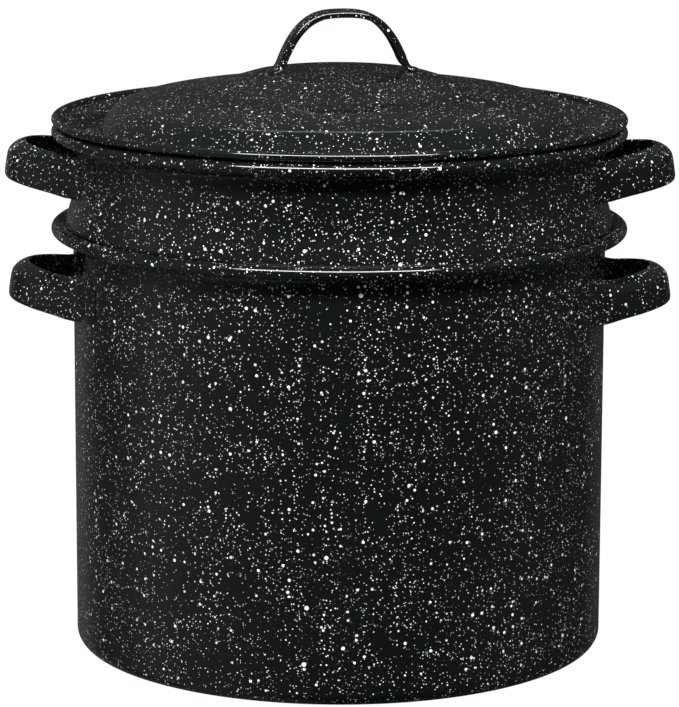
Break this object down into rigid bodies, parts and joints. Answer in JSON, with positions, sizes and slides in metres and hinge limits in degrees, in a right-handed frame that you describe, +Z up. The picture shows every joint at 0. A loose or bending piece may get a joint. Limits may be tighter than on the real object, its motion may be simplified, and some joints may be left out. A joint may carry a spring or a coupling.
{
  "type": "enamelled stock pot with insert and lid",
  "caption": "Speckled enamel steel stock pot with loop handles, a perforated strainer insert hanging in its mouth and a domed lid with an arched strap handle.",
  "frame": {"origin": "centre of the pot's flat underside, at the centre of the bounding box's bottom", "axes": "+Z up; +X through the side handles; front towards -Y"},
  "size_m": [0.3564, 0.306, 0.3399],
  "materials": {
    "enamel_pot": "gloss, black with fine white specks",
    "enamel_insert": "gloss, black with fine white specks",
    "enamel_lid": "gloss, black with fine white specks"
  },
  "bodies": {
    "pot": {"pot_body": "enamel_pot", "pot_handle_right": "enamel_pot", "pot_handle_left": "enamel_pot"},
    "insert": {"insert_body": "enamel_insert", "insert_handle_right": "enamel_insert", "insert_handle_left": "enamel_insert"},
    "lid": {"lid_body": "enamel_lid", "lid_handle": "enamel_lid"}
  },
  "joints": [
    {"name": "insert_lift", "type": "slide", "parent": "pot", "child": "insert", "axis": [0, 0, 1], "range_m": [0, 0.26]},
    {"name": "lid_lift", "type": "slide", "parent": "insert", "child": "lid", "axis": [0, 0, 1], "range_m": [0, 0.12]}
  ]
}
